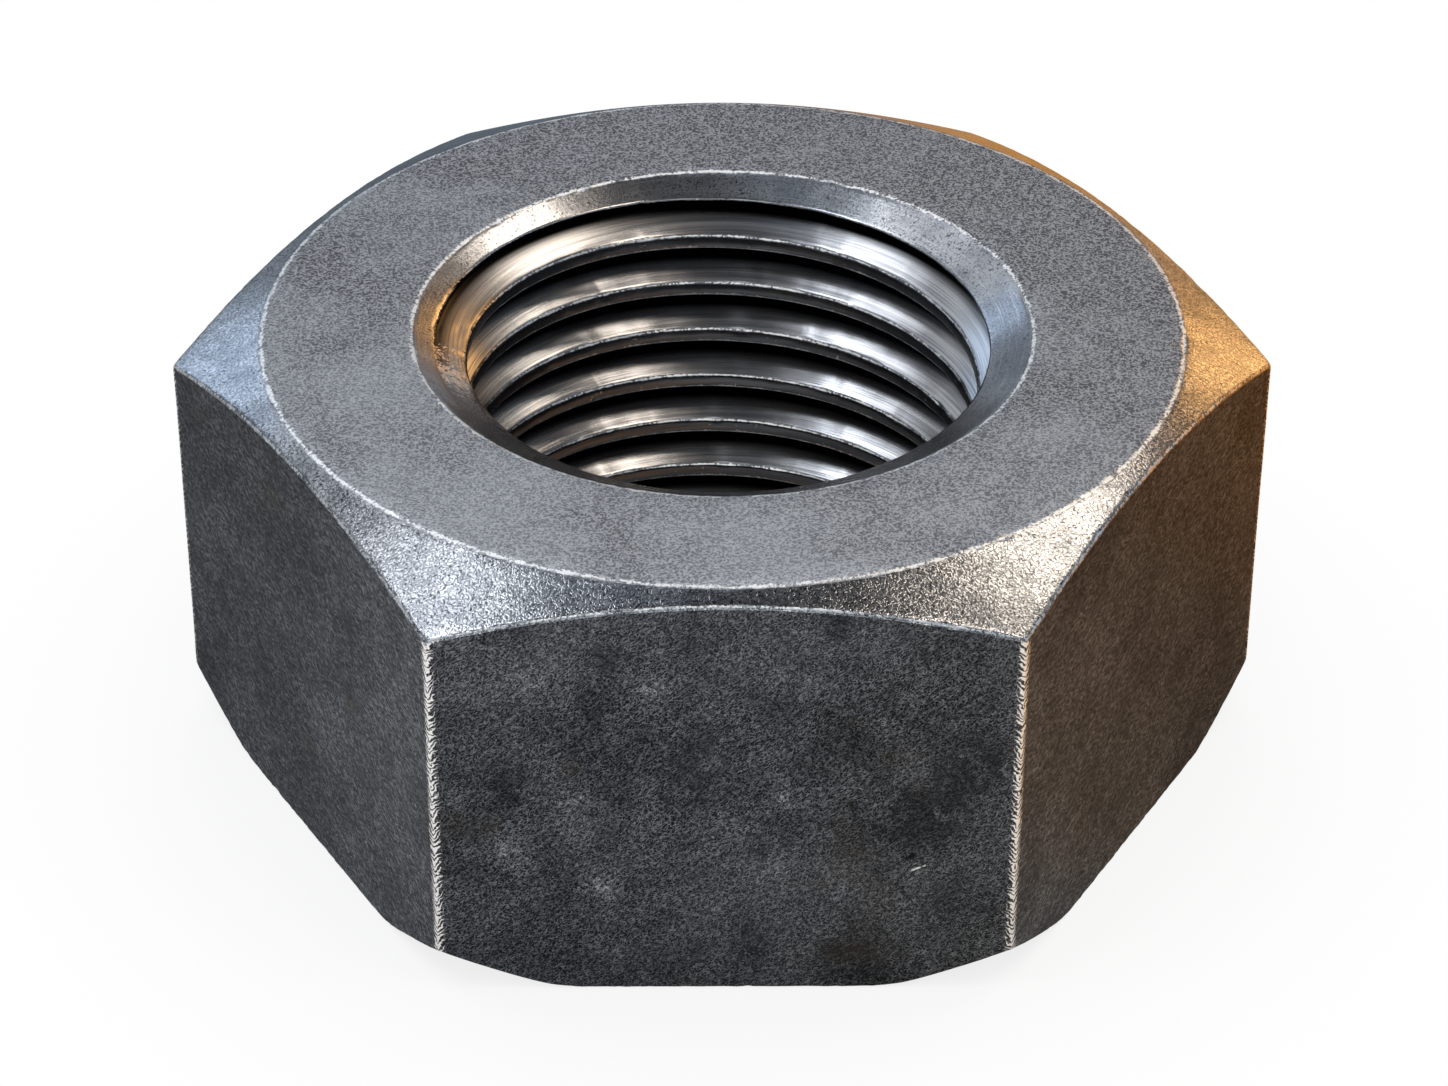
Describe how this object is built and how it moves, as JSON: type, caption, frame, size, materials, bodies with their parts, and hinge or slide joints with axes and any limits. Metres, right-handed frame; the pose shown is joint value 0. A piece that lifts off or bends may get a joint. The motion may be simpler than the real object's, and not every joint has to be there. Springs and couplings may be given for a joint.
{
  "type": "heavy hex nut",
  "caption": "Heavy structural hex nut in dark forged steel: six flats, chamfered corners, a countersunk right-hand metric thread right through.",
  "frame": {"origin": "centre of the bearing face, on the thread's axis", "axes": "+Z along the thread's axis from the bearing face to the top face; +X towards a corner, +Y square to a flat"},
  "size_m": [0.0864, 0.075, 0.036],
  "materials": {
    "forged_steel": "hot-forged dark skin on the flats, machined chamfers and countersinks, tapped thread with bright crests"
  },
  "bodies": {
    "root": {"nut_body": "forged_steel"}
  },
  "joints": []
}
